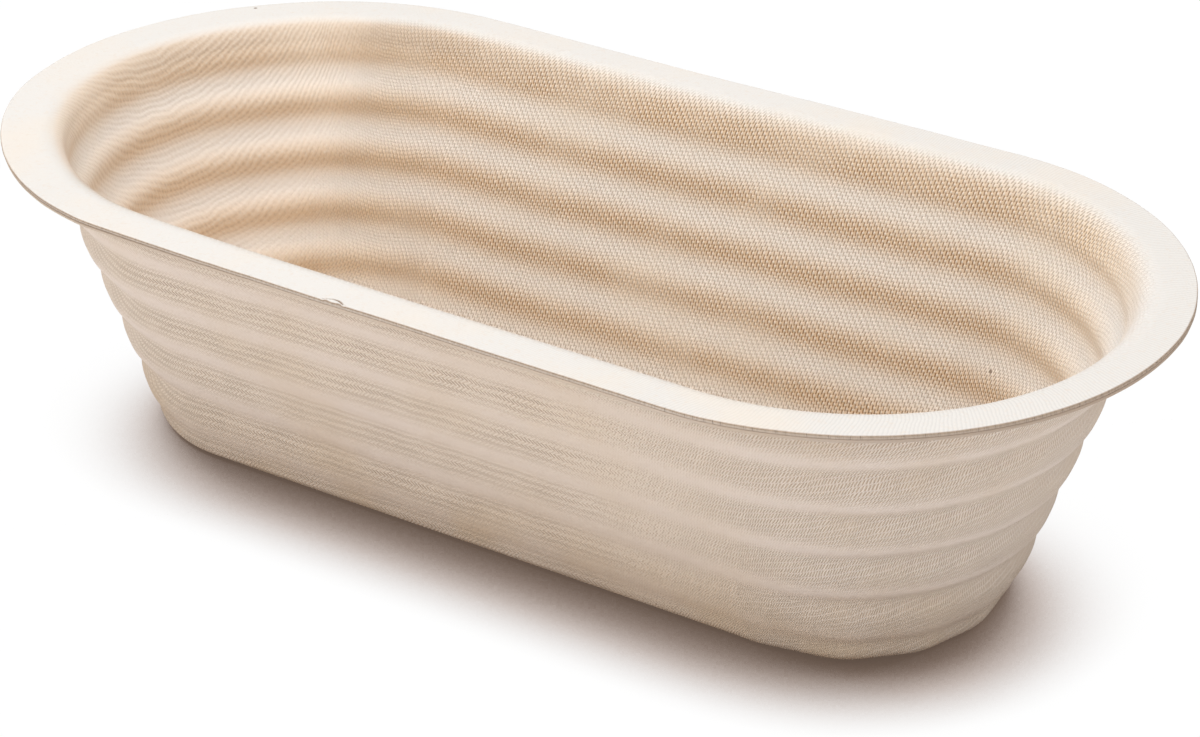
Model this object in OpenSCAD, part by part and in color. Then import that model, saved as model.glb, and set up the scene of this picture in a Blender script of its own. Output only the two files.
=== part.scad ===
// Long proofing basket pressed from wood pulp: two plies, one inside the other.
// The plan is a slot shape: straight sides with half-round ends.
// Origin: centre of the base underside. +X along the length, +Z up. Millimetres.

/* [Rim] */
// Overall length over the rim
rim_length = 290; // [230:1:420]
// Overall width over the rim
rim_width = 144; // [120:1:180]
// Flat width of the flange, from its cut edge to the start of the bend
flange_width = 7.6; // [5:0.2:14]
// Radius of the bend from the flange down into the wall, at the glue line
rim_bend = 6; // [2.5:0.5:8]

/* [Wall] */
// Overall height, from the base to the top of the flange
basket_height = 72; // [55:1:100]
// Lean of the wall away from upright, in degrees
wall_lean = 18.5; // [8:0.5:24]
// Radius of the bend from the wall into the base, at the glue line
foot_bend = 3; // [2:0.5:12]

/* [Ribs] */
// Height from one crease to the next
rib_pitch = 12.5; // [9:0.1:18]
// Depth of a rib, from the crest to the crease
rib_depth = 1.2; // [0.4:0.1:2.2]
// Drop from the top of the flange to the first crease
first_crease = 5.6; // [4:0.1:18]
// How much narrower the creases are than the crests, from 0 for a plain wave
crease_sharpness = 0.25; // [0:0.05:0.4]

/* [Plies] */
// Thickness of the inner ply
inner_thickness = 0.9; // [0.6:0.1:1.4]
// Thickness of the outer ply
outer_thickness = 0.9; // [0.6:0.1:1.4]

/* [Hidden] */

// Fineness of the drawn curves
rib_steps = 8;
bend_steps = 6;
round_sides = 96;

end_radius = rim_width / 2;
straight_length = rim_length - rim_width;

// The glue line, where the two plies meet, runs in the half section from the
// cut edge over the rim bend, down the wall and round the foot to the middle.
flange_z = basket_height - inner_thickness;
base_z = outer_thickness;
bend_sweep = 90 - wall_lean;
wall_down = [-sin(wall_lean), -cos(wall_lean)];
wall_out = [cos(wall_lean), -sin(wall_lean)];
rim_bend_centre = [end_radius - flange_width, flange_z - rim_bend];
wall_top = rim_bend_centre - rim_bend * wall_out;
foot_top_z = base_z + foot_bend * (1 - sin(wall_lean));
wall_run = (wall_top[1] - foot_top_z) / cos(wall_lean);
foot_bend_centre = wall_top + wall_run * wall_down - foot_bend * wall_out;
rib_run = rib_pitch / cos(wall_lean);
wall_steps = ceil(rib_steps * wall_run / rib_run);

// Ribs die out over half a rib at the rim bend and at the foot.
function rib_strength(run) = sin(90 * min(1, 2 * run / rib_run, 2 * (wall_run - run) / rib_run));
function rib_wave(turn) = -cos(360 * turn) - crease_sharpness * cos(720 * turn);
function drop_at(run) = basket_height - (wall_top + run * wall_down)[1];
function rib_height(run) =
    rib_strength(run) * rib_depth / 2 * rib_wave((drop_at(run) - first_crease) / rib_pitch);
function wall_point(run) = wall_top + run * wall_down + rib_height(run) * wall_out;
function arc_point(centre, radius, angle) = centre + radius * [cos(angle), sin(angle)];

glue_line = concat(
    [[end_radius, flange_z]],
    [for (i = [0 : bend_steps - 1]) arc_point(rim_bend_centre, rim_bend, 90 + bend_sweep * i / bend_steps)],
    [for (i = [0 : wall_steps]) wall_point(wall_run * i / wall_steps)],
    [for (i = [1 : bend_steps]) arc_point(foot_bend_centre, foot_bend, -wall_lean - bend_sweep * i / bend_steps)],
    [[0, base_z]]
);
last = len(glue_line) - 1;

// A line at a steady distance from the glue line: positive is outside and below.
function heading(a, b) = (b - a) / norm(b - a);
function outward(direction) = [-direction[1], direction[0]];
function side_before(i) = outward(heading(glue_line[max(i, 1) - 1], glue_line[max(i, 1)]));
function side_after(i) = outward(heading(glue_line[min(i, last - 1)], glue_line[min(i, last - 1) + 1]));
function mitre(a, b) = (a + b) / (1 + a * b);
function beside(distance) =
    [for (i = [0 : last]) glue_line[i] + distance * mitre(side_before(i), side_after(i))];
function reversed(points) = [for (i = [len(points) - 1 : -1 : 0]) points[i]];
function mirrored(points) = [for (p = reversed(points)) if (p[0] > 0) [-p[0], p[1]]];

module half_section(below, above) {
    polygon(concat(beside(below), reversed(beside(above))));
}

module whole_section(below, above) {
    polygon(concat(
        beside(below), mirrored(beside(below)),
        reversed(concat(beside(above), mirrored(beside(above))))
    ));
}

// One ply: the straight middle with a half-round end on either side.
module ply(below, above) {
    rotate([90, 0, 90])
        linear_extrude(straight_length, center = true)
            whole_section(below, above);
    for (turn = [0, 180])
        rotate([0, 0, turn])
            translate([straight_length / 2, 0, 0])
                rotate([0, 0, -90])
                    rotate_extrude(angle = 180, $fn = round_sides)
                        half_section(below, above);
}

// The ply that is seen from outside and stands on the table
module outer_ply() {
    color("#d8c7af")
        ply(outer_thickness, 0);
}

// The ply that lines the inside and makes the top face of the flange
module inner_ply() {
    color("#f4ebdf")
        ply(0, -inner_thickness);
}

outer_ply();
inner_ply();
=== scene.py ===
"""Long proofing basket of pressed wood pulp, laid out as an add-on: two nested plies and a plain stage."""

import math

import bpy
import numpy as np
from mathutils import Matrix, Vector, noise


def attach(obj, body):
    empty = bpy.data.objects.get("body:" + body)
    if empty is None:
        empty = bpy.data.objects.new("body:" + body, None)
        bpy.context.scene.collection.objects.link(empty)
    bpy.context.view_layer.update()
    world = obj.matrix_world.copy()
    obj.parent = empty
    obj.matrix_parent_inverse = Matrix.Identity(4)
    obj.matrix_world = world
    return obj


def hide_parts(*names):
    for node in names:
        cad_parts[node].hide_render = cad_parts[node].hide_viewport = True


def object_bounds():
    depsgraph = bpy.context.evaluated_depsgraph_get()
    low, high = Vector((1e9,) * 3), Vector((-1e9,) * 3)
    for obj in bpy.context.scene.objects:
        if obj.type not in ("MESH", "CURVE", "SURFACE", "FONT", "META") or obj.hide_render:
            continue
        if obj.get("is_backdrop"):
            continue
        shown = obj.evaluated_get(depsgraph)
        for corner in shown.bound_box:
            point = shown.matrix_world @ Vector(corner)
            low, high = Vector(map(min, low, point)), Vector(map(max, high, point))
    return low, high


bl_info = {
    "name": "Pulp Proofing Basket",
    "version": (1, 0, 0),
    "blender": (4, 5, 0),
    "location": "3D View > Sidebar > Basket",
    "description": "Builds a long pressed-pulp proofing basket from its two plies",
    "category": "Add Mesh",
}

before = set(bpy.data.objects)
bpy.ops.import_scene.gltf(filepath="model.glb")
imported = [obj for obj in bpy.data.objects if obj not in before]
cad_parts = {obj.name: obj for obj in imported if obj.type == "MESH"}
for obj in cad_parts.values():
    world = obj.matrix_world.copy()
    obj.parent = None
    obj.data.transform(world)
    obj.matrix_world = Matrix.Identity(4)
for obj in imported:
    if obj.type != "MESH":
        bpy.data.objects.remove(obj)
CAD_LOW, CAD_HIGH = (list(corner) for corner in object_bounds())

MM = 0.001
RIM_LENGTH = CAD_HIGH[0] - CAD_LOW[0]
RIM_WIDTH = CAD_HIGH[1] - CAD_LOW[1]
BASKET_HEIGHT = CAD_HIGH[2] - CAD_LOW[2]
RIM_RADIUS = RIM_WIDTH / 2


class BasketShape(bpy.types.PropertyGroup):
    """Sizes of the pressed shell"""

    rim_length: bpy.props.FloatProperty(
        name="Rim length", description="Length over the flange", default=RIM_LENGTH, unit="LENGTH"
    )
    rim_width: bpy.props.FloatProperty(
        name="Rim width", description="Width over the flange", default=RIM_WIDTH, unit="LENGTH"
    )
    height: bpy.props.FloatProperty(
        name="Height", description="Base to the top of the flange", default=BASKET_HEIGHT, unit="LENGTH"
    )
    flange_width: bpy.props.FloatProperty(
        name="Flange", description="Flat width of the flange", default=7.6 * MM, unit="LENGTH"
    )
    rim_bend: bpy.props.FloatProperty(
        name="Rim bend", description="Radius from the flange into the wall", default=6 * MM, unit="LENGTH"
    )
    foot_bend: bpy.props.FloatProperty(
        name="Foot bend", description="Radius from the wall into the base", default=2.2 * MM, unit="LENGTH"
    )
    wall_lean: bpy.props.FloatProperty(
        name="Wall lean", description="Lean of the wall away from upright",
        default=math.radians(18.5), subtype="ANGLE",
    )
    rib_pitch: bpy.props.FloatProperty(
        name="Rib pitch", description="Height from crease to crease", default=12.5 * MM, unit="LENGTH"
    )
    rib_depth: bpy.props.FloatProperty(
        name="Rib depth", description="Crest to crease at the round ends", default=1.6 * MM, unit="LENGTH"
    )
    side_ribs: bpy.props.FloatProperty(
        name="Ribs on the sides", description="Share of the depth left on the straight sides", default=0.35,
        subtype="FACTOR", min=0, max=1,
    )
    first_crease: bpy.props.FloatProperty(
        name="First crease", description="Drop from the flange to the first crease",
        default=5.6 * MM, unit="LENGTH",
    )
    crease_sharpness: bpy.props.FloatProperty(
        name="Crease sharpness", description="How narrow the creases are", default=0.25, min=0, max=0.4
    )
    ply: bpy.props.FloatProperty(
        name="Ply", description="Thickness of one ply", default=0.9 * MM, unit="LENGTH"
    )
    waviness: bpy.props.FloatProperty(
        name="Waviness", description="How far the wall wanders from its true line",
        default=0.3 * MM, unit="LENGTH",
    )
    off_centre: bpy.props.FloatProperty(
        name="Off centre", description="How far the flange was trimmed to the left",
        default=1.2 * MM, unit="LENGTH",
    )
    push: bpy.props.FloatProperty(
        name="Push", description="How far the rim is pushed in at the front left",
        default=2.15 * MM, unit="LENGTH",
    )


class PulpFinish(bpy.types.PropertyGroup):
    """Colours and relief of the pulp"""

    flange: bpy.props.FloatVectorProperty(
        name="Flange", description="Smooth pale pulp on the flange", default=(0.867, 0.828, 0.782),
        subtype="COLOR", size=3, min=0, max=1,
    )
    inside: bpy.props.FloatVectorProperty(
        name="Inside", description="Pulp on the ridges inside", default=(0.975, 0.88, 0.785),
        subtype="COLOR", size=3, min=0, max=1,
    )
    # Golden hollows inside: partly the pulp's colour, partly painted shade in the hollows
    hollow_gold_and_shade: bpy.props.FloatVectorProperty(
        name="Hollows", description="Golden pulp in the hollows inside", default=(0.78, 0.53, 0.305),
        subtype="COLOR", size=3, min=0, max=1,
    )
    outside: bpy.props.FloatVectorProperty(
        name="Outside", description="Pulp on the outside", default=(0.81, 0.68, 0.562),
        subtype="COLOR", size=3, min=0, max=1,
    )
    # Paler smooth strips: partly their own colour, partly painted light from the floor below
    strip: bpy.props.FloatVectorProperty(
        name="Strips", description="Smooth strips under each crease outside", default=(0.875, 0.75, 0.68),
        subtype="COLOR", size=3, min=0, max=1,
    )
    # The cut edge's colour: partly the cut pulp, partly painted shade under the flange's edge
    cut: bpy.props.FloatVectorProperty(
        name="Cut edge", description="Trimmed edge of the flange", default=(0.43, 0.31, 0.22),
        subtype="COLOR", size=3, min=0, max=1,
    )
    imprint: bpy.props.FloatProperty(
        name="Imprint", description="Depth of the woven imprint", default=0.16 * MM, unit="LENGTH"
    )


class StageSetup(bpy.types.PropertyGroup):
    """Floor, light and camera"""

    floor: bpy.props.FloatVectorProperty(
        name="Floor", description="Pale floor", default=(0.86, 0.86, 0.86),
        subtype="COLOR", size=3, min=0, max=1,
    )
    shadow: bpy.props.FloatVectorProperty(
        name="Shadow", description="Floor in the shadow of the basket", default=(0.18, 0.125, 0.095),
        subtype="COLOR", size=3, min=0, max=1,
    )
    penumbra: bpy.props.FloatVectorProperty(
        name="Penumbra", description="Floor at the soft edge of that shadow", default=(0.55, 0.47, 0.43),
        subtype="COLOR", size=3, min=0, max=1,
    )
    shadow_reach: bpy.props.FloatProperty(
        name="Shadow reach", description="How far the shadow reaches from the base",
        default=0.03, unit="LENGTH",
    )
    overhead: bpy.props.FloatProperty(
        name="Overhead", description="Softbox overhead", default=7.2, unit="POWER"
    )
    left: bpy.props.FloatProperty(
        name="Left", description="Low softbox left of the camera", default=4.75, unit="POWER"
    )
    right: bpy.props.FloatProperty(
        name="Right", description="Low softbox right of the camera", default=3.0, unit="POWER"
    )
    sky: bpy.props.FloatProperty(
        name="Surround", description="Strength of the even surround", default=0.45
    )
    lens: bpy.props.FloatProperty(
        name="Lens", description="Focal length", default=105.06, subtype="DISTANCE_CAMERA"
    )


# Columns of the mesh round an end, along a side and at the flake
END_COLUMNS = 112
SIDE_COLUMNS = 79
FLAKE_COLUMNS = 29

# Two places or angles closer than this are taken as one
SAME = 1e-6

# The lifted flake on the front edge: its middle along the side, and the reach of the fine columns
FLAKE_X = -7.6 * MM
FLAKE_REACH = 3.6 * MM
FLAKE_MARGIN = 0.6 * MM

# Half the width of the strip that closes the middle of the base
BASE_STRIP = 4 * MM


def side_places(half):
    """Where the columns stand along a straight side, closer together at the flake."""
    coarse = np.linspace(-half, half, SIDE_COLUMNS)
    fine = np.linspace(FLAKE_X - FLAKE_REACH, FLAKE_X + FLAKE_REACH, FLAKE_COLUMNS)
    apart = np.abs(coarse - FLAKE_X) > FLAKE_REACH + FLAKE_MARGIN
    return np.sort(np.concatenate([coarse[apart], fine]))


class Plan:
    """The slot shape: each column's start on the middle line and its outward direction."""

    def __init__(self, shape):
        self.half = (shape.rim_length - shape.rim_width) / 2
        sides = side_places(self.half)
        sweep = np.arange(END_COLUMNS) * math.pi / END_COLUMNS
        run = len(sides) - 1
        self.run = run
        self.start = np.concatenate([
            np.full(END_COLUMNS, self.half), sides[::-1][:-1],
            np.full(END_COLUMNS, -self.half), sides[:-1],
        ])
        self.angle = np.concatenate([
            sweep - math.pi / 2, np.full(run, math.pi / 2),
            sweep + math.pi / 2, np.full(run, 1.5 * math.pi),
        ])
        self.count = len(self.start)
        self.cos, self.sin = np.cos(self.angle), np.sin(self.angle)
        self.degrees = np.degrees(self.angle)
        self.front = np.abs(self.angle - 1.5 * math.pi) < SAME
        self.right = (self.start > self.half - SAME) & ~self.front
        self.left = (self.start < SAME - self.half) & ~self.front

    def place(self, radius, height):
        """Points of the columns (columns, rows, 3) from section coordinates."""
        x = self.start[:, None] + radius * self.cos[:, None]
        return np.stack([x, radius * self.sin[:, None], height], -1)

    def ring(self, radius):
        """One point in every column on a level line at this radius."""
        return np.stack([self.start + self.cos * radius, self.sin * radius, np.zeros(self.count)], -1)


def bump_at(value, middle, spread):
    """A soft hump, 1 at its middle."""
    return np.exp(-(((value - middle) / spread) ** 2))


def eased(share):
    """A share from 0 to 1 that leaves and arrives gently."""
    return share * share * (3 - 2 * share)


def wave_noise(points, scale, seed):
    """Even noise between about -1 and 1 at points in metres; scale is the size of a lump."""
    flat = points.reshape(-1, 3) / scale
    values = [noise.noise(Vector((p[0] + seed, p[1] - seed, p[2] + 0.5 * seed))) for p in flat]
    return np.array(values).reshape(points.shape[:-1])


class Section:
    """The half section of the shell, along its glue line from the cut edge to the middle of the base."""

    def __init__(self, shape, rows_per_rib, bend_rows, flange_places, base_rows):
        lean = shape.wall_lean
        self.shape = shape
        rim = shape.rim_width / 2
        self.flange_z = shape.height - shape.ply
        down = np.array([-math.sin(lean), -math.cos(lean)])
        self.out = np.array([math.cos(lean), -math.sin(lean)])
        bend = shape.rim_bend
        rim_centre = np.array([rim - shape.flange_width, self.flange_z - bend])
        wall_top = rim_centre - bend * self.out
        foot_top = shape.ply + shape.foot_bend * (1 - math.sin(lean))
        self.wall_run = (wall_top[1] - foot_top) / math.cos(lean)
        foot_centre = wall_top + self.wall_run * down - shape.foot_bend * self.out
        sweep = math.pi / 2 - lean
        self.rib_run = shape.rib_pitch / math.cos(lean)
        steps = math.ceil(rows_per_rib * self.wall_run / self.rib_run)

        points, run = [], []
        for place in flange_places:
            points.append([rim - place * shape.flange_width, self.flange_z])
            run.append(-1)
        for i in range(1, bend_rows):
            turn = math.pi / 2 + sweep * i / bend_rows
            points.append(rim_centre + bend * np.array([math.cos(turn), math.sin(turn)]))
            run.append(-1)
        for i in range(steps + 1):
            points.append(wall_top + self.wall_run * i / steps * down)
            run.append(self.wall_run * i / steps)
        for i in range(1, bend_rows + 1):
            turn = -lean - sweep * i / bend_rows
            points.append(foot_centre + shape.foot_bend * np.array([math.cos(turn), math.sin(turn)]))
            run.append(-1)
        contact = points[-1][0]
        for i in range(1, base_rows + 1):
            points.append([contact + (BASE_STRIP - contact) * i / base_rows, shape.ply])
            run.append(-1)
        self.points = np.array(points, float)
        self.run = np.array(run)
        self.drop = shape.height - self.points[:, 1]
        steps_along = np.linalg.norm(np.diff(self.points, axis=0), axis=1)
        along = np.concatenate([[0], np.cumsum(steps_along)])
        self.reach = along[-1] - along + self.points[-1, 0]

    def turn(self, shift):
        """Place within the ribs of each column and row, a whole number in a crease outside."""
        shape = self.shape
        return (self.drop[None, :] - shape.first_crease + shift[:, None]) / shape.rib_pitch

    def wave(self, turn):
        """Rib wave, 1 on a crest and about -1 in a crease."""
        angle = 2 * math.pi * turn
        return -np.cos(angle) - self.shape.crease_sharpness * np.cos(2 * angle)

    def strength(self):
        """Ribs die out over half a rib at either end of the wall."""
        ends = np.minimum(2 * self.run / self.rib_run, 2 * (self.wall_run - self.run) / self.rib_run)
        return np.where(self.run >= 0, np.sin(math.pi / 2 * np.clip(ends, 0, 1)), 0)


def section_normals(section):
    """Outward normals (columns, rows, 2) of section lines that run from the rim to the middle."""
    along = np.gradient(section, axis=1)
    along /= np.linalg.norm(along, axis=2, keepdims=True)
    return np.stack([-along[..., 1], along[..., 0]], -1)


# Lumps of the foot at the right end: angle and spread in degrees, and how far they stand out in millimetres
RIGHT_LUMPS = ((-90, 10, 0.7), (-57, 13, 2.2), (-34, 11, 1.9), (-12, 9, 0.7), (8, 10, -0.9))
LEFT_LUMP = (270, 34, 2.0)


def foot_lumps(plan):
    """How far each column's foot stands out: along the front, most at the left, and in lumps at the right."""
    lump = np.where(plan.front, 1.25 - 0.75 * plan.start / plan.half, 0)
    for columns, lumps in ((plan.right, RIGHT_LUMPS), (plan.left, (LEFT_LUMP,))):
        stands = sum(out * bump_at(plan.degrees, at, spread) for at, spread, out in lumps)
        lump += np.where(columns, stands, 0)
    return lump * MM


# Where the rim is pushed in, as an angle round the left end, and how far that spreads, in degrees
PUSH_AT, PUSH_SPREAD = 234, 37


def pushed_in(plan):
    """Share of the push in every column: all of it at the front left, none away from the left end."""
    past_end = np.degrees((plan.start + plan.half) / RIM_RADIUS)
    round_left = np.where(plan.front, 270 + past_end, plan.degrees)
    return np.where(plan.front | plan.left, bump_at(round_left, PUSH_AT, PUSH_SPREAD), 0)


def push_at(shape, plan, radius, drop):
    """How far the push moves the section in (columns, rows): most inside the flange, less down the wall."""
    inward = np.clip((shape.rim_width / 2 - radius) / shape.flange_width, 0, 1)
    fade = np.exp(-np.clip(drop - 2.5 * MM, 0, None) / (6 * MM))
    return shape.push * pushed_in(plan)[:, None] * ((1 + 0.37 * inward) * fade)[None, :]


# Radius of the level ring along which the ribs and the flange are uneven
WALL_RADIUS = 60 * MM

# Heights over which the wall calms down at the foot and under the flange
FOOT_CALM, RIM_CALM = 14 * MM, 6 * MM

# Height up to which the foot's lumps reach, and where they fade out on the base
LUMP_HEIGHT = 15 * MM
LUMP_INNER, LUMP_FADE = 24 * MM, 12 * MM

# How far the flange is from level, how far it sits low, and the height over which the wall follows it
UNLEVEL, SUNK, LIFT_FADE = 0.22 * MM, 0.15 * MM, 8 * MM


def shell_line(shape, plan, section):
    """The glue line in every column (columns, rows, 2), ribbed and uneven, and its place within the ribs."""
    ring = plan.ring(WALL_RADIUS)
    height = section.points[:, 1]

    # Ribs, shallower on the sides, uneven in depth and height
    on_end = eased(np.clip(np.abs(plan.cos) * 1.6, 0, 1))
    depth = shape.rib_depth / 2 * (shape.side_ribs + (1 - shape.side_ribs) * on_end)
    depth *= 1 + 0.25 * wave_noise(ring, 26 * MM, 3.1)
    turn = section.turn(0.55 * MM * wave_noise(ring, 34 * MM, 7.7))
    wave = section.wave(turn) * section.strength()[None, :]
    line = section.points[None, :, :] + (depth[:, None] * wave)[..., None] * section.out
    line[..., 0] -= push_at(shape, plan, section.points[:, 0], section.drop)

    # The wall wanders between a calm rim and a calm foot
    placed = plan.place(line[..., 0], line[..., 1])
    wander = wave_noise(placed, 30 * MM, 1.3) + 0.45 * wave_noise(placed, 11 * MM, 5.9)
    calm = np.clip(height / FOOT_CALM, 0, 1) * np.clip((section.flange_z - height) / RIM_CALM, 0, 1)
    line = line + (shape.waviness * wander * calm[None, :])[..., None] * section_normals(line)

    # The foot's lumps, and a flange that isn't quite level
    low = np.clip(1 - height / LUMP_HEIGHT, 0, 1)
    low = low * np.clip((section.points[:, 0] - LUMP_INNER) / LUMP_FADE, 0, 1)
    line[..., 0] += foot_lumps(plan)[:, None] * low[None, :]
    lift = UNLEVEL * wave_noise(ring, 60 * MM, 9.2) - SUNK
    fade = np.clip(1 - (section.flange_z - height) / LIFT_FADE, 0, 1)
    line[..., 1] += lift[:, None] * fade[None, :]
    return line, turn


def off_centre(shape, radius, height):
    """How far a point lies to the right of the true outline, because the flange was trimmed off centre."""
    share = eased(np.clip((shape.rim_width / 2 - radius) / shape.flange_width, 0, 1))
    return shape.off_centre * share * (1 - 1.3 * (shape.height - height) / shape.height)


def trim(plan):
    """How far each column's cut edge strays from the true outline."""
    ring = plan.ring(RIM_RADIUS)
    return MM * (0.2 * wave_noise(ring, 22 * MM, 2.4) + 0.06 * wave_noise(ring, 4 * MM, 8.8) - 0.12)


def at_left(plan):
    """1 round the left end, 0 on the rest."""
    reach = plan.start + plan.cos * RIM_RADIUS
    return np.clip((-reach - 20 * MM) / (60 * MM), 0, 1)


def hollow_shade_share(plan):
    """How golden the hollows are in every column, the gold partly painted shade: less towards the right tip
    and at the front left, as painted light.
    """
    tip = np.where(plan.right, np.clip(1.15 * plan.cos - 0.15, 0, 1), 0)
    front_left = np.clip(-2.2 * plan.sin, 0, 1) * np.clip(-3 * plan.cos, 0, 1)
    return 1 - 0.8 * tip ** 1.5 - 0.35 * front_left


QUAD = ((0, 0), (0, 1), (1, 1), (1, 0))


def shell_mesh(name, plan, loop, screen, inner):
    """A closed shell from the section loop of every column, with the screen's coordinates at face corners."""
    columns, rows = loop.shape[:2]
    order = QUAD[::-1] if inner else QUAD
    corner = np.arange(columns * rows).reshape(columns, rows)
    edges = np.stack([corner, np.roll(corner, -1, axis=0)])
    quads = np.stack([edges[k, :, j:rows - 1 + j] for k, j in order], -1).reshape(-1, 4)
    draped_to = np.stack([screen[k, :, j:rows - 1 + j] for k, j in order], 2).reshape(-1, 3)
    faces = quads.tolist()
    for row, flip in ((0, inner), (rows - 1, not inner)):
        ring = corner[:, row]
        wrapped = np.append(ring, ring[0])
        patches = [wrapped[:END_COLUMNS + 1].tolist(),
                   wrapped[END_COLUMNS + plan.run:2 * END_COLUMNS + plan.run + 1].tolist()]
        far = wrapped[END_COLUMNS:END_COLUMNS + plan.run + 1]
        near = wrapped[2 * END_COLUMNS + plan.run:][::-1]
        patches += [[far[k], far[k + 1], near[k + 1], near[k]] for k in range(plan.run)]
        faces += [[int(v) for v in (patch[::-1] if flip else patch)] for patch in patches]
    mesh = bpy.data.meshes.new(name)
    mesh.from_pydata(loop.reshape(-1, 3).tolist(), [], faces)
    mesh.update()
    mesh.shade_smooth()
    layer = mesh.attributes.new("draped", "FLOAT_VECTOR", "CORNER")
    values = np.zeros((len(mesh.loops), 3), np.float32)
    values[:len(draped_to)] = draped_to
    layer.data.foreach_set("vector", values.ravel())
    made = bpy.data.objects.new(name, mesh)
    bpy.context.scene.collection.objects.link(made)
    return made


def point_value(piece, name, values):
    """Stores one number for each point of the mesh."""
    layer = piece.data.attributes.new(name, "FLOAT", "POINT")
    layer.data.foreach_set("value", np.asarray(values, np.float32).ravel())


# Radius in millimetres at which the screen is taken to go round an end, and the swing by which it lies flat
END_RADIUS = 56.0
FLAT_SWING = math.radians(45)


def draped(plan, reach, inner):
    """Where the two edges of each column of faces lay on the flat woven screen, in millimetres.

    The result is (2, columns, rows, 3). The screen is draped over the left end and wrapped round the right.
    Its hems meet where the right end begins: at the front of the inner ply and at the back of the outer one.
    """
    reach = reach[None, :] / MM
    half = plan.half / MM
    side = 1 if inner else -1
    right = (np.arange(plan.count) < END_COLUMNS)[:, None]
    next_start = np.append(plan.start[1:], plan.half)
    next_angle = np.append(plan.angle[1:], 1.5 * math.pi)
    edges = []
    for start, angle in ((plan.start, plan.angle), (next_start, next_angle)):
        start, angle = start[:, None] / MM, angle[:, None]
        swing = np.clip(np.minimum(angle - math.pi / 2, 1.5 * math.pi - angle), 0, None) * (start < 1 - half)
        drape = eased(np.clip(swing / FLAT_SWING, 0, 1))
        around = start - END_RADIUS * swing + 0 * reach
        x = around + drape * (start + reach * np.cos(angle) - around)
        wall = np.where(np.sin(angle) > 0, 1, -1) * reach
        y = side * (wall + drape * (reach * np.sin(angle) - wall))
        wrap = half + END_RADIUS * (math.pi / 2 - side * angle) + 0 * reach
        edges.append(np.stack([np.where(right, wrap, x), np.where(right, reach, y), 0 * x], -1))
    return np.stack(edges)


def flake_lift(plan, line):
    """The lifted crescent on the front edge: a groove behind a raised lip (columns, rows)."""
    across = (plan.start[:, None] - FLAKE_X) / (2.6 * MM)
    inward = RIM_RADIUS - line[..., 0]
    bow = 0.35 * MM + 1.0 * MM * np.clip(1 - across ** 2, 0, 1)
    inside = plan.front[:, None] * np.clip(1.35 - np.abs(across), 0, 1) ** 0.5 * (np.abs(across) < 1.2)
    groove = bump_at(inward, bow, 0.24 * MM)
    lip = bump_at(inward, bow - 0.6 * MM, 0.36 * MM)
    return inside * (0.26 * lip - 0.2 * groove) * MM, inside * groove


# Rows across the flange as shares of its width, on a face and on the glue face behind
FLANGE_ROWS = (0.03, 0.06, 0.1, 0.14, 0.18, 0.23, 0.3, 0.4, 0.55, 0.72, 0.87, 1.0)
HIDDEN_ROWS = (0.05, 0.5, 1.0)

# Rounding of the cut edge on top of the inner ply and under the outer one
TOP_ROUND, UNDER_ROUND = 0.28 * MM, 0.36 * MM

# How dark the points of the cut edge are, from the glue line to the face, and how smooth on the inner ply;
# the darkness is partly the cut pulp and its glue line, partly painted shade under the edge of the flange
INNER_EDGE_SHADE = np.array((0.8, 0.65, 0.5, 0.5, 1, 1, 0.35, 0))
OUTER_EDGE_SHADE = np.array((0.9, 0.65, 0.4, 0.3, 0.35, 0.3, 0.1, 0))
INNER_SMOOTH = np.array((0, 0, 0, 0, 0, 0.3, 0.8, 1))


def cut_edge(shape, plan, split, top, inner):
    """Section points (columns, 8, 2) round the cut edge of a ply, from the glue line to its face."""
    left = at_left(plan)
    edge = shape.rim_width / 2 + trim(plan) - shape.push * pushed_in(plan)
    edge = edge + (0.10 * MM * left if inner else -0.12 * MM * left)
    gap = (0.1 + 0.22 * left) * MM
    ease = TOP_ROUND if inner else UNDER_ROUND
    away = 1 if inner else -1
    corner = [
        (edge - gap - 0.3 * MM, split),
        (edge - gap * 0.3, split + away * gap * 0.55),
        (edge, split + away * gap * 1.2),
        (edge + 0.02 * MM, (split + top) / 2),
        (edge, top - away * ease),
        (edge - 0.1 * ease, top - away * 0.62 * ease),
        (edge - 0.38 * ease, top - away * 0.2 * ease),
        (edge - ease, top),
    ]
    return np.stack([np.stack(pair, -1) for pair in corner], 1)


# Share of the smooth strip under each crease outside, and its place between two creases
STRIPS = (1, 1, 1, 1, 0.6)
STRIP_AT = 0.73


def face_marks(shape, plan, section, turn, groove):
    """What the colours follow on a ply's face: a number for each column and row, or for each row."""
    left = at_left(plan)[:, None]
    begins = (1.2 - 0.4 * left) * MM
    ends = np.clip((section.drop - begins) / (2 * begins), 0, 1)
    ends = ends * np.clip((shape.height - section.drop) / (6 * MM), 0, 1)
    # The golden hollows follow the ribs: partly the pulp's colour, partly painted shade in the hollows
    phase = turn - 0.13
    phase = np.where(phase < 0, 0.4 * phase, phase)
    golden = (0.5 + 0.5 * np.cos(2 * math.pi * phase)) * ends * hollow_shade_share(plan)[:, None]
    # Painted shade at the back left, just under the rim
    back_left = left * np.clip(0.6 + 2.4 * plan.sin, 0, 1)[:, None]
    width = 0.235 - 0.125 * np.clip(plan.cos, 0, 1)[:, None]
    strip = sum(share * bump_at(turn, k + STRIP_AT, width) for k, share in enumerate(STRIPS))
    level = np.clip((0.5 * MM + shape.ply - section.points[:, 1]) / (0.4 * MM), 0, 1)
    return {
        "hollow_gold_and_shade": golden,
        "back_left_shade": back_left * ends * bump_at(section.drop, 4 * MM, 3 * MM),
        "flange": np.clip(1 - (section.drop - shape.ply) / (0.9 * MM), 0, 1),
        "strip": strip * (section.run >= 0),
        "flake": groove,
        "base": level,
        "end": np.abs(plan.cos)[:, None] * (1 - level)[None, :],
    }


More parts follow.
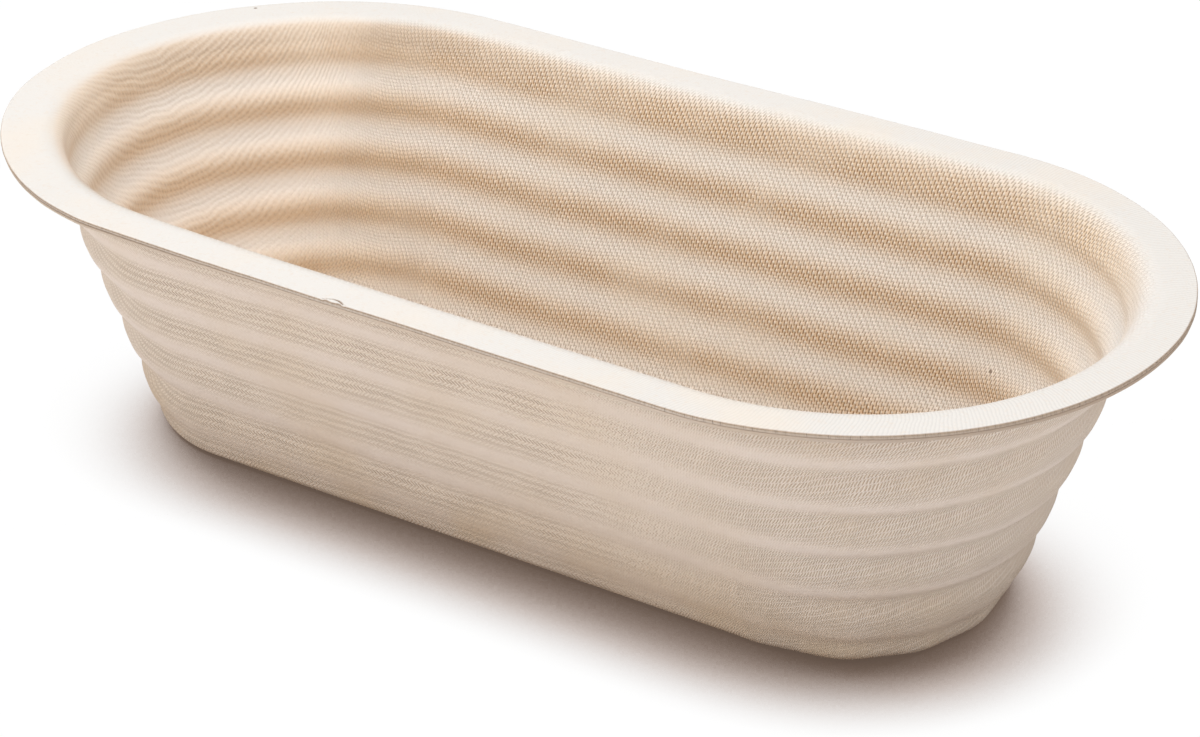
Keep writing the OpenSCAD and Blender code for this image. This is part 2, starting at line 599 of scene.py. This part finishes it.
def build_ply(name, inner):
    """One ply as a closed shell: its face, its cut edge and the glue face behind."""
    shape = bpy.context.scene.basket_shape
    plan = Plan(shape)
    fine = Section(shape, rows_per_rib=20, bend_rows=13, flange_places=FLANGE_ROWS, base_rows=22)
    rough = Section(shape, rows_per_rib=6, bend_rows=4, flange_places=HIDDEN_ROWS, base_rows=4)
    line, turn = shell_line(shape, plan, fine)
    glue, _ = shell_line(shape, plan, rough)
    face = line + (-1 if inner else 1) * shape.ply * section_normals(line)
    near_edge = np.clip(1 - (RIM_RADIUS - fine.points[None, :, 0]) / (3 * MM), 0, 1)
    face[..., 0] += trim(plan)[:, None] * near_edge
    groove = np.zeros(face.shape[:2])
    if inner:
        lift, groove = flake_lift(plan, face)
        face[..., 1] += lift
    else:
        base = face[..., 1] < 2.5 * MM
        face[..., 1] = np.where(base, np.maximum(face[..., 1], 0), face[..., 1])
    hidden = glue[:, ::-1][:, :-1]
    corner = cut_edge(shape, plan, glue[:, 0, 1], face[:, 0, 1], inner)
    keep = fine.points[:, 0] < shape.rim_width / 2 - UNDER_ROUND
    loop = np.concatenate([hidden, corner, face[:, keep]], 1)
    placed = plan.place(loop[..., 0], loop[..., 1])
    placed[..., 0] += off_centre(shape, loop[..., 0], loop[..., 1])
    before = hidden.shape[1]
    after = before + corner.shape[1]
    reach = np.concatenate([np.full(after, fine.reach[0]), fine.reach[keep]])
    piece = shell_mesh(name, plan, placed, draped(plan, reach, inner), inner)

    # The cut edge's darkness, partly painted shade, over the whole edge at the right end
    edge_shade = INNER_EDGE_SHADE if inner else OUTER_EDGE_SHADE
    plain = 0.8 * np.clip(plan.cos, 0, 1)[:, None] * (edge_shade > 0.2)
    on_edge = {"cut": edge_shade + plain * (0.9 - edge_shade), "flange": INNER_SMOOTH if inner else 0}
    on_face = face_marks(shape, plan, fine, turn, groove)
    for mark in ("cut", *on_face):
        values = np.zeros(loop.shape[:2])
        values[:, before:after] = on_edge.get(mark, 0)
        if mark in on_face:
            values[:, after:] = on_face[mark][..., keep]
        point_value(piece, mark, values)
    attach(piece, "root")
    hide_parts("inner_ply" if inner else "outer_ply")
    return piece


class Paint:
    """Small helpers that add shader nodes to one material."""

    def __init__(self, name):
        self.material = bpy.data.materials.new(name)
        self.material.use_nodes = True
        self.tree = self.material.node_tree
        self.shader = self.tree.nodes["Principled BSDF"]

    def put(self, kind, **settings):
        made = self.tree.nodes.new(kind)
        for key, value in settings.items():
            setattr(made, key, value)
        return made

    def feed(self, socket, value):
        if isinstance(value, bpy.types.NodeSocket):
            self.tree.links.new(value, socket)
        else:
            socket.default_value = value

    def calc(self, operation, a, b=0.0, c=0.0, clamp=False):
        made = self.put("ShaderNodeMath", operation=operation, use_clamp=clamp)
        for socket, value in zip(made.inputs, (a, b, c)):
            self.feed(socket, value)
        return made.outputs[0]

    def product(self, first, *others):
        for other in others:
            first = self.calc("MULTIPLY", first, other)
        return first

    def scale_add(self, value, factor, extra, clamp=False):
        return self.calc("MULTIPLY_ADD", value, factor, extra, clamp)

    def value(self, name):
        return self.put("ShaderNodeAttribute", attribute_name=name).outputs["Fac"]

    def vector(self, name):
        return self.put("ShaderNodeAttribute", attribute_name=name).outputs["Vector"]

    def part(self, vector, axis):
        made = self.put("ShaderNodeSeparateXYZ")
        self.feed(made.inputs[0], vector)
        return made.outputs[axis]

    def join(self, operation, vector, other):
        made = self.put("ShaderNodeVectorMath", operation=operation)
        self.feed(made.inputs[0], vector)
        self.feed(made.inputs[1], other)
        return made

    def scaled(self, vector, factor):
        return self.join("MULTIPLY", vector, factor).outputs[0]

    def moved(self, vector, by):
        return self.join("ADD", vector, by).outputs[0]

    def dot(self, vector, by):
        return self.join("DOT_PRODUCT", vector, by).outputs["Value"]

    def unit(self, vector):
        made = self.put("ShaderNodeVectorMath", operation="NORMALIZE")
        self.feed(made.inputs[0], vector)
        return made.outputs[0]

    def noise(self, vector, scale, detail=2.0, rough=0.5, output="Fac"):
        made = self.put("ShaderNodeTexNoise")
        self.feed(made.inputs["Vector"], vector)
        made.inputs["Scale"].default_value = scale
        made.inputs["Detail"].default_value = detail
        made.inputs["Roughness"].default_value = rough
        return made.outputs[output]

    def ramp(self, value, low, high, to_low=0.0, to_high=1.0):
        made = self.put("ShaderNodeMapRange", interpolation_type="SMOOTHSTEP")
        for key, number in (("Value", value), ("From Min", low), ("From Max", high),
                            ("To Min", to_low), ("To Max", to_high)):
            self.feed(made.inputs[key], number)
        return made.outputs["Result"]

    def mix(self, factor, a, b):
        """A colour that goes from a to b."""
        made = self.put("ShaderNodeMix", data_type="RGBA")
        for socket, value in zip((made.inputs[0], made.inputs[6], made.inputs[7]), (factor, a, b)):
            self.feed(socket, value)
        return made.outputs[2]

    def blend(self, factor, a, b):
        """A number that goes from a to b."""
        made = self.put("ShaderNodeMix", data_type="FLOAT")
        for socket, value in zip((made.inputs[0], made.inputs[2], made.inputs[3]), (factor, a, b)):
            self.feed(socket, value)
        return made.outputs[0]

    def turns(self, vector, wave):
        """The angle of a wave over the screen: its turns per millimetre across and along."""
        across, along = wave
        return self.dot(vector, (2 * math.pi * across, 2 * math.pi * along, 0))

    def ripple(self, vector, wave):
        """A cosine wave over the screen."""
        return self.calc("COSINE", self.turns(vector, wave))


def rgba(colour):
    return (*colour, 1.0)


def tinted(colour, factors):
    """A colour with its parts scaled, none above 1."""
    return rgba(min(1, c * k) for c, k in zip(colour, factors))


# Waves of the screens, as turns per millimetre across and along: threads drawn out over the left end,
# threads and rows elsewhere inside, and grains, rows and slanting dashes outside
DRAWN_THREADS, DRAWN_CROSS, DRAWN_BEADS = (0.60, -0.106), (0.063, -0.454), (0.55, -0.75)
INNER_THREADS, INNER_ROWS = (0.73, -0.085), (0.11, -0.57)
OUTER_GRAINS, OUTER_ROWS, OUTER_DASHES = (0.92, 0.0), (0.07, -0.40), (1.5, -0.84)


def coarse_weave(paint, drawn_out, loose):
    """The inner screen, about -0.5 to 0.5, and its gaps: drawn threads at the left, knots elsewhere."""
    wander = strayed(paint, loose, 13.0, 2.4)
    drawn = paint.scale_add(paint.ripple(wander, DRAWN_CROSS), 0.08,
                            paint.product(paint.ripple(wander, DRAWN_THREADS), 0.28))
    drawn = paint.scale_add(paint.ripple(wander, DRAWN_BEADS), 0.07, drawn)
    thread = paint.turns(loose, INNER_THREADS)
    row = paint.ripple(loose, INNER_ROWS)
    knot = paint.ramp(paint.product(paint.calc("COSINE", thread), row), 0.3, 0.85)
    gap = paint.ramp(paint.calc("COSINE", paint.product(thread, 2.0)), 0.1, -0.7)
    broken = paint.ramp(paint.product(paint.calc("SINE", thread), row), 0.7, 0.2)
    bricks = paint.calc("SUBTRACT", paint.product(knot, 0.5), paint.product(gap, broken, 0.5))
    return paint.blend(drawn_out, bricks, drawn), gap


def fine_weave(paint, on_end, loose):
    """The outer screen, about -0.5 to 0.5: leaning grains along the front, slanting dashes at the right."""
    rise = paint.dot(loose, (0.03, -1.05, 0))
    fold = paint.calc("PINGPONG", rise, 1.0)
    grains = paint.calc("COSINE", paint.scale_add(fold, 7.6, paint.turns(loose, OUTER_GRAINS)))
    falling = paint.calc("SINE", paint.product(rise, math.pi))
    grains = paint.product(grains, paint.ramp(falling, 0.5, -0.5, 0.5, 1.15))
    row = paint.product(paint.ripple(loose, OUTER_ROWS), 2.2)
    row = paint.calc("MAXIMUM", paint.calc("MINIMUM", row, 1.0), -1.0)
    dashes = paint.product(paint.ripple(loose, OUTER_DASHES), row)
    weave = paint.blend(on_end, grains, dashes)
    patches = paint.noise(paint.scaled(loose, (0.09, 0.16, 0.1)), 1.0, 1.0)
    return paint.product(weave, paint.blend(on_end, paint.ramp(patches, 0.33, 0.62, 0.44, 0.58), 0.5))


def strayed(paint, screen, size, by):
    """The screen's coordinates pushed about by noise: size of a lump and how far it moves, in millimetres."""
    lumps = paint.noise(paint.scaled(screen, (1 / size, 1 / size, 1 / size)), 1.0, 1.0, output="Color")
    return paint.moved(screen, paint.scaled(paint.moved(lumps, (-0.5, -0.5, -0.5)), (by, by, 0)))


class Imprint:
    """The woven imprint: its height, about 0 to 1, and what depends on the place along the screen.

    On the base the screen lies flat. It leaves its imprint inside only, and the underside is plain.
    """

    def __init__(self, paint, place, inner):
        self.screen = paint.vector("draped")
        self.base = paint.value("base")
        self.level = paint.scaled(place, (1 / MM, 1 / MM, 1 / MM))
        loose = strayed(paint, strayed(paint, self.screen, 9.0, 1.3), 2.4, 0.3 if inner else 0.35)
        self.along = paint.blend(self.base, paint.part(self.screen, "X"), paint.part(self.level, "X"))
        self.drawn_out = paint.ramp(self.along, -92.0, -135.0)
        if inner:
            weave, self.gaps = coarse_weave(paint, self.drawn_out, loose)
            level_weave, _ = coarse_weave(paint, 0.0, strayed(paint, self.level, 9.0, 1.3))
        else:
            weave = fine_weave(paint, paint.ramp(self.along, 20.0, 85.0), loose)
            level_weave = 0.0
        self.height = paint.calc("ADD", paint.blend(self.base, weave, level_weave), 0.5)

    def fibres(self, paint):
        """Fibres that lie along the screen."""
        over_wall, over_base = (paint.noise(paint.scaled(over, (1.0, 0.35, 1.0)), 2.6, 3.0, 0.6)
                                for over in (self.screen, self.level))
        return paint.blend(self.base, over_wall, over_base)


# Tones that only parts of the basket have: painted light on the hollows at the right end and on the wall at
# its tip, painted shade at the back left under the rim, the inside floor, painted shade in the gaps between
# threads and in the flake's groove, and the specks
LIT_END_HOLLOW = (0.95, 0.675, 0.40)
LIT_TIP_TONE = (0.985, 0.95, 0.915)
BACK_LEFT_SHADE_TONE = (0.62, 0.49, 0.38)
LEVEL_TONE = (0.92, 0.855, 0.775)
RIDGE_GAP_SHADE, HOLLOW_GAP_SHADE = (0.46, 0.33, 0.22), (0.34, 0.18, 0.075)
GROOVE_SHADE_TONE = (0.30, 0.20, 0.13)
SPECK_TONE = (0.23, 0.15, 0.09)


def off_cut(paint):
    """1 away from the cut edge, 0 on it."""
    return paint.ramp(paint.value("cut"), 0.0, 0.15, 1.0, 0.0)


def inside_pulp(paint, finish, imprint, off_flange):
    """Colour and relief inside: golden hollows, partly painted shade, with dark gaps as painted shade and
    pale knots of the coarse screen.
    """
    along, drawn_out, base = imprint.along, imprint.drawn_out, imprint.base
    hollow_gold_and_shade, end = paint.value("hollow_gold_and_shade"), paint.value("end")
    # Painted light: the hollows paler towards the ends, but not where the screen is drawn out at the left
    lit_ends = paint.ramp(paint.calc("SUBTRACT", end, paint.product(drawn_out, 2.0)), 0.1, 0.7)
    golden = paint.mix(lit_ends, rgba(finish.hollow_gold_and_shade), rgba(LIT_END_HOLLOW))
    # Painted shade: the inside a little darker where the screen is drawn out over the left end
    body = paint.mix(drawn_out, rgba(finish.inside), tinted(finish.inside, (0.965, 0.965, 0.97)))
    # Painted light: the inside wall paler at the right tip
    tip = paint.product(paint.ramp(end, 0.6, 1.0), paint.ramp(along, 60.0, 90.0))
    body = paint.mix(paint.product(tip, 0.9), body, rgba(LIT_TIP_TONE))
    # Golden hollows: partly the pulp's colour, partly painted shade
    body = paint.mix(paint.product(hollow_gold_and_shade, paint.blend(drawn_out, 0.8, 0.72)), body, golden)
    # Painted shade at the back left under the rim
    body = paint.mix(paint.product(paint.value("back_left_shade"), 0.5), body, rgba(BACK_LEFT_SHADE_TONE))
    body = paint.mix(base, body, rgba(LEVEL_TONE))

    # Painted shade in the gaps of the coarse screen, less at the ends, at the left and on the inside floor
    shown = paint.product(
        paint.scale_add(hollow_gold_and_shade, 0.36, 0.58),
        paint.ramp(end, 0.3, 0.85, 1.0, 0.25),
        paint.ramp(along, -45.0, -95.0, 1.0, 0.5),
        paint.ramp(base, 0.0, 1.0, 1.0, 0.35),
    )
    shown = paint.blend(drawn_out, shown, paint.scale_add(hollow_gold_and_shade, 0.2, 0.05))
    gaps = paint.product(paint.ramp(imprint.height, 0.46, 0.08), paint.product(shown, off_cut(paint)))
    body = paint.mix(gaps, body, paint.mix(hollow_gold_and_shade, rgba(RIDGE_GAP_SHADE), rgba(HOLLOW_GAP_SHADE)))
    knots = paint.product(
        paint.ramp(imprint.height, 0.55, 0.9),
        paint.scale_add(hollow_gold_and_shade, 0.4, 0.35),
        paint.ramp(along, -45.0, -95.0, 1.0, 0.35),
    )
    body = paint.mix(knots, body, tinted(finish.inside, (1.03, 1.03, 1.03)))
    press = paint.product(paint.scale_add(off_flange, 0.88, 0.12), paint.scale_add(drawn_out, -0.5, 1.0))
    return body, press


def outside_pulp(paint, finish, imprint, off_flange, place):
    """Colour and relief outside: the fine screen between smooth strips, both partly painted light and shade,
    and stains and painted shade towards the foot.
    """
    along = imprint.along
    strip, end = paint.value("strip"), paint.value("end")
    body = paint.mix(paint.ramp(along, 40.0, 120.0), rgba(finish.outside),
                     tinted(finish.outside, (1.0, 1.03, 1.1)))
    shown = paint.scale_add(end, 0.3, paint.ramp(along, -40.0, 40.0, 0.55, 0.3))
    # Paler smooth strips: partly their own colour, partly painted light from the floor below
    body = paint.mix(paint.product(strip, shown), body, rgba(finish.strip))
    fade = paint.product(
        paint.scale_add(strip, paint.ramp(end, 0.3, 1.0, -0.9, -0.6), 1.0, clamp=True),
        paint.ramp(along, -75.0, -125.0, 1.0, 0.45),
        off_cut(paint),
    )
    # The fine screen's imprint: painted shade in its dips and painted light on its raised grains
    for low, high, factors in ((0.42, 0.02, (0.68, 0.585, 0.50)), (0.55, 0.95, (1.15, 1.19, 1.23))):
        woven = paint.product(paint.ramp(imprint.height, low, high), fade)
        body = paint.mix(woven, body, tinted(finish.outside, factors))
    # Warm patches darker towards the foot: partly stains, partly painted shade near the floor
    stain_and_foot_shade = paint.product(paint.ramp(paint.noise(place, 42.0, 2.0), 0.4, 0.7, 0.25, 0.9),
                          paint.ramp(paint.part(place, "Z"), 0.026, 0.002))
    body = paint.mix(stain_and_foot_shade, body, tinted(finish.outside, (0.93, 0.86, 0.74)))
    return body, paint.product(fade, paint.scale_add(off_flange, 0.8, 0.2))


def specked(paint, body, place):
    """The colour with a few dark specks."""
    specks = paint.put("ShaderNodeTexVoronoi", feature="F1")
    paint.feed(specks.inputs["Vector"], paint.scaled(place, (1.0, 1.0, 0.8)))
    specks.inputs["Scale"].default_value = 95.0
    near = paint.ramp(specks.outputs["Distance"], 0.055, 0.03)
    few = paint.calc("GREATER_THAN", paint.part(specks.outputs["Color"], "X"), 0.9)
    return paint.mix(paint.product(near, few, 0.75), body, rgba(SPECK_TONE))


def pulp(name, inner):
    """Pressed pulp: fibres, a woven imprint, golden hollows and a dark cut edge that are partly painted
    shade, and a few dark specks.
    """
    finish = bpy.context.scene.pulp_finish
    paint = Paint(name)
    place = paint.put("ShaderNodeTexCoord").outputs["Object"]
    imprint = Imprint(paint, place, inner)
    fibres = imprint.fibres(paint)
    flange = paint.value("flange")
    off_flange = paint.calc("SUBTRACT", 1.0, flange)
    if inner:
        own, smooth = finish.inside, finish.flange
        body, press = inside_pulp(paint, finish, imprint, off_flange)
    else:
        own = smooth = finish.outside
        body, press = outside_pulp(paint, finish, imprint, off_flange, place)

    body = paint.mix(flange, body, rgba(smooth))
    if inner:
        # Painted shade in the screen's gaps, as faint lines on the flange
        lined = paint.product(flange, paint.ramp(imprint.along, -10.0, 80.0, 0.04, 0.26), imprint.gaps)
        body = paint.mix(lined, body, tinted(finish.flange, (0.74, 0.74, 0.74)))
    clouds = paint.ramp(paint.noise(place, 38.0, 3.0), 0.45, 0.75, 0.0, 0.35)
    body = paint.mix(clouds, body, tinted(own, (0.97, 0.92, 0.84)))
    body = paint.mix(paint.ramp(fibres, 0.5, 0.8, 0.0, 0.25), body, tinted(finish.flange, (1.06, 1.06, 1.06)))
    speckle = paint.ramp(paint.noise(place, 900.0, 3.0, 0.7), 0.5, 0.75, 0.0, 0.4)
    body = paint.mix(speckle, body, tinted(own, (0.86, 0.82, 0.78)))
    # The cut edge: partly the cut pulp's colour, partly painted shade
    body = paint.mix(paint.value("cut"), body, rgba(finish.cut))
    # Painted shade in the groove behind the flake's lifted lip
    groove = paint.calc("MULTIPLY", paint.value("flake"), 1.5, clamp=True)
    body = specked(paint, paint.mix(groove, body, rgba(GROOVE_SHADE_TONE)), place)

    relief = paint.scale_add(fibres, 0.22, paint.product(imprint.height, press))
    relief = paint.scale_add(paint.noise(place, 1500.0, 2.0), 0.16, relief)
    bump = paint.put("ShaderNodeBump")
    bump.inputs["Strength"].default_value = 1.0
    bump.inputs["Distance"].default_value = finish.imprint * (2.0 if inner else 1.1)
    paint.feed(bump.inputs["Height"], relief)
    shader = paint.shader
    paint.feed(shader.inputs["Base Color"], body)
    paint.feed(shader.inputs["Normal"], bump.outputs["Normal"])
    shader.inputs["Roughness"].default_value = 0.88
    shader.inputs["Specular IOR Level"].default_value = 0.25
    return paint.material


class BASKET_OT_outer_ply(bpy.types.Operator):
    """Builds the ply that is seen from outside and stands on the table"""

    bl_idname = "basket.outer_ply"
    bl_label = "Outer Ply"

    def execute(self, context):
        piece = build_ply("outer_ply_shell", False)
        piece.data.materials.append(pulp("outer_pulp_pressed", False))
        return {"FINISHED"}


class BASKET_OT_inner_ply(bpy.types.Operator):
    """Builds the ply that lines the inside and makes the top face of the flange"""

    bl_idname = "basket.inner_ply"
    bl_label = "Inner Ply"

    def execute(self, context):
        piece = build_ply("inner_ply_shell", True)
        piece.data.materials.append(pulp("inner_pulp_pressed", True))
        return {"FINISHED"}


# The camera's direction, the point that it looks at and how far away it is
AZIMUTH, ELEVATION, ROLL = math.radians(35.2432), math.radians(27.5116), math.radians(-0.637)
LOOK_AT = Vector((0.05519, -0.06557, 0.072))
DISTANCE = 0.69281
SENSOR = 36.0


def photo_camera(stage):
    """The camera at the photograph's place, looking the photograph's way."""
    level_part = math.cos(ELEVATION)
    back = Vector((math.sin(AZIMUTH) * level_part, -math.cos(AZIMUTH) * level_part, math.sin(ELEVATION)))
    level = Vector((math.cos(AZIMUTH), math.sin(AZIMUTH), 0))
    upright = back.cross(level)
    right = math.cos(ROLL) * level + math.sin(ROLL) * upright
    top = -math.sin(ROLL) * level + math.cos(ROLL) * upright
    data = bpy.data.cameras.new("photo_camera")
    data.lens = stage.lens
    data.sensor_width = SENSOR
    data.sensor_fit = "HORIZONTAL"
    data.clip_start, data.clip_end = 0.01, 50
    camera = bpy.data.objects.new("photo_camera", data)
    turned = Matrix((right, top, back)).transposed().to_4x4()
    camera.matrix_world = Matrix.Translation(LOOK_AT + DISTANCE * back) @ turned
    bpy.context.scene.collection.objects.link(camera)
    bpy.context.scene.camera = camera


# The floor's reach and its drop under the base, and the ways in which its two shadows lean
FLOOR_REACH = 6.0
FLOOR_DROP = 0.2 * MM
SOFT_LEAN = (-0.66, 0.76, 0)
TOUCHING_LEAN = (-1.0, 1.35, 0)


def openness(paint, reach, lean, samples):
    """How open the floor is towards a leaning direction: 1 in the open, less beside the basket."""
    nearby = paint.put("ShaderNodeAmbientOcclusion", samples=samples)
    nearby.inputs["Distance"].default_value = reach
    up = paint.put("ShaderNodeNewGeometry").outputs["Normal"]
    paint.feed(nearby.inputs["Normal"], paint.unit(paint.moved(up, lean)))
    return nearby.outputs["AO"]


def pale_floor(stage):
    """A wide floor that glows white to the camera, with the basket's shadow painted into its glow from
    ambient occlusion.
    """
    far = FLOOR_REACH
    corners = [(-far, -far, 0), (far, -far, 0), (far, far, 0), (-far, far, 0)]
    mesh = bpy.data.meshes.new("pale_floor")
    mesh.from_pydata(corners, [], [(0, 1, 2, 3)])
    floor = bpy.data.objects.new("pale_floor", mesh)
    floor.location.z = -FLOOR_DROP
    bpy.context.scene.collection.objects.link(floor)
    floor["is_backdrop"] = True

    paint = Paint("pale_floor_paint")
    paint.shader.inputs["Roughness"].default_value = 0.9
    paint.shader.inputs["Specular IOR Level"].default_value = 0.1
    nearby = openness(paint, stage.shadow_reach, SOFT_LEAN, 16)
    shade = paint.scale_add(nearby, -1.333, 1.333, clamp=True)
    soft = paint.calc("MULTIPLY", paint.calc("POWER", shade, 2.3), 1.4, clamp=True)
    touching = openness(paint, 0.4 * stage.shadow_reach, TOUCHING_LEAN, 8)
    touching = paint.ramp(touching, 0.5, 0.12, 0.0, 0.75)
    path = paint.put("ShaderNodeLightPath")
    seen = paint.calc("MAXIMUM", path.outputs["Is Camera Ray"], path.outputs["Is Glossy Ray"])
    seen = paint.calc("MAXIMUM", seen, path.outputs["Is Transmission Ray"])
    # Painted shade: the floor darker near the basket for the light that it throws back
    to_basket_with_painted_shade = paint.mix(shade, rgba(stage.floor), rgba(1.6 * c for c in stage.shadow))
    # Painted shadow: the glow that the camera sees, darkened near the basket from ambient occlusion
    glow_with_painted_shadow = paint.mix(paint.calc("MULTIPLY", soft, 2.0, clamp=True), (1, 1, 1, 1), rgba(stage.penumbra))
    glow_with_painted_shadow = paint.mix(paint.scale_add(soft, 2.0, -1.0, clamp=True), glow_with_painted_shadow, rgba(stage.shadow))
    glow_with_painted_shadow = paint.mix(touching, glow_with_painted_shadow, rgba(0.3 * c for c in stage.shadow))
    paint.feed(paint.shader.inputs["Base Color"], paint.mix(seen, to_basket_with_painted_shade, (0, 0, 0, 1)))
    paint.feed(paint.shader.inputs["Emission Color"], glow_with_painted_shadow)
    paint.feed(paint.shader.inputs["Emission Strength"], seen)
    mesh.materials.append(paint.material)


# Where the lamps stand and aim, and the sides of their squares
OVERHEAD_AT, OVERHEAD_SIZE = (-0.09, -0.15, 1.15), 0.7
LEFT_AT, RIGHT_AT, SIDE_SIZE = (-0.80, -1.10, 0.55), (1.20, -0.40, 0.42), 0.8
LAMPS_AIM = Vector((0, 0, 0.04))


def softbox(name, place, size, power):
    """A square lamp that faces the basket."""
    data = bpy.data.lights.new(name, "AREA")
    data.shape = "SQUARE"
    data.size = size
    data.energy = power
    lamp = bpy.data.objects.new(name, data)
    lamp.location = place
    lamp.rotation_euler = (LAMPS_AIM - lamp.location).to_track_quat("-Z", "Y").to_euler()
    bpy.context.scene.collection.objects.link(lamp)


def studio_light(stage):
    """A softbox overhead and a low one on either side of the camera, in an even pale surround."""
    softbox("softbox_overhead", OVERHEAD_AT, OVERHEAD_SIZE, stage.overhead)
    softbox("softbox_left", LEFT_AT, SIDE_SIZE, stage.left)
    softbox("softbox_right", RIGHT_AT, SIDE_SIZE, stage.right)

    world = bpy.data.worlds.new("surround")
    world.use_nodes = True
    bpy.context.scene.world = world
    tree = world.node_tree
    sky = tree.nodes["Background"]
    sky.inputs["Color"].default_value = (1, 1, 1, 1)
    seen = tree.nodes.new("ShaderNodeLightPath")
    choose = tree.nodes.new("ShaderNodeMix")
    choose.data_type = "FLOAT"
    tree.links.new(seen.outputs["Is Camera Ray"], choose.inputs[0])
    choose.inputs[2].default_value = stage.sky
    choose.inputs[3].default_value = 1.0
    tree.links.new(choose.outputs[0], sky.inputs["Strength"])


class BASKET_OT_stage(bpy.types.Operator):
    """Sets the floor, the light and the camera"""

    bl_idname = "basket.stage"
    bl_label = "Stage"

    def execute(self, context):
        stage = context.scene.stage_setup
        context.scene.view_settings.view_transform = "Standard"
        photo_camera(stage)
        pale_floor(stage)
        studio_light(stage)
        return {"FINISHED"}


class BASKET_PT_panel(bpy.types.Panel):
    """Lists the basket's pieces and its sizes"""

    bl_idname = "BASKET_PT_panel"
    bl_label = "Proofing Basket"
    bl_space_type = "VIEW_3D"
    bl_region_type = "UI"
    bl_category = "Basket"

    def draw(self, context):
        column = self.layout.column()
        for operator in (BASKET_OT_outer_ply, BASKET_OT_inner_ply, BASKET_OT_stage):
            column.operator(operator.bl_idname)
        for settings in (context.scene.basket_shape, context.scene.pulp_finish, context.scene.stage_setup):
            for name in settings.__annotations__:
                column.prop(settings, name)


CLASSES = (
    BasketShape, PulpFinish, StageSetup,
    BASKET_OT_outer_ply, BASKET_OT_inner_ply, BASKET_OT_stage, BASKET_PT_panel,
)


def register():
    for part in CLASSES:
        bpy.utils.register_class(part)
    bpy.types.Scene.basket_shape = bpy.props.PointerProperty(type=BasketShape)
    bpy.types.Scene.pulp_finish = bpy.props.PointerProperty(type=PulpFinish)
    bpy.types.Scene.stage_setup = bpy.props.PointerProperty(type=StageSetup)


def unregister():
    del bpy.types.Scene.stage_setup
    del bpy.types.Scene.pulp_finish
    del bpy.types.Scene.basket_shape
    for part in reversed(CLASSES):
        bpy.utils.unregister_class(part)


def main():
    register()
    bpy.ops.basket.outer_ply()
    bpy.ops.basket.inner_ply()
    bpy.ops.basket.stage()


if __name__ == "__main__":
    main()
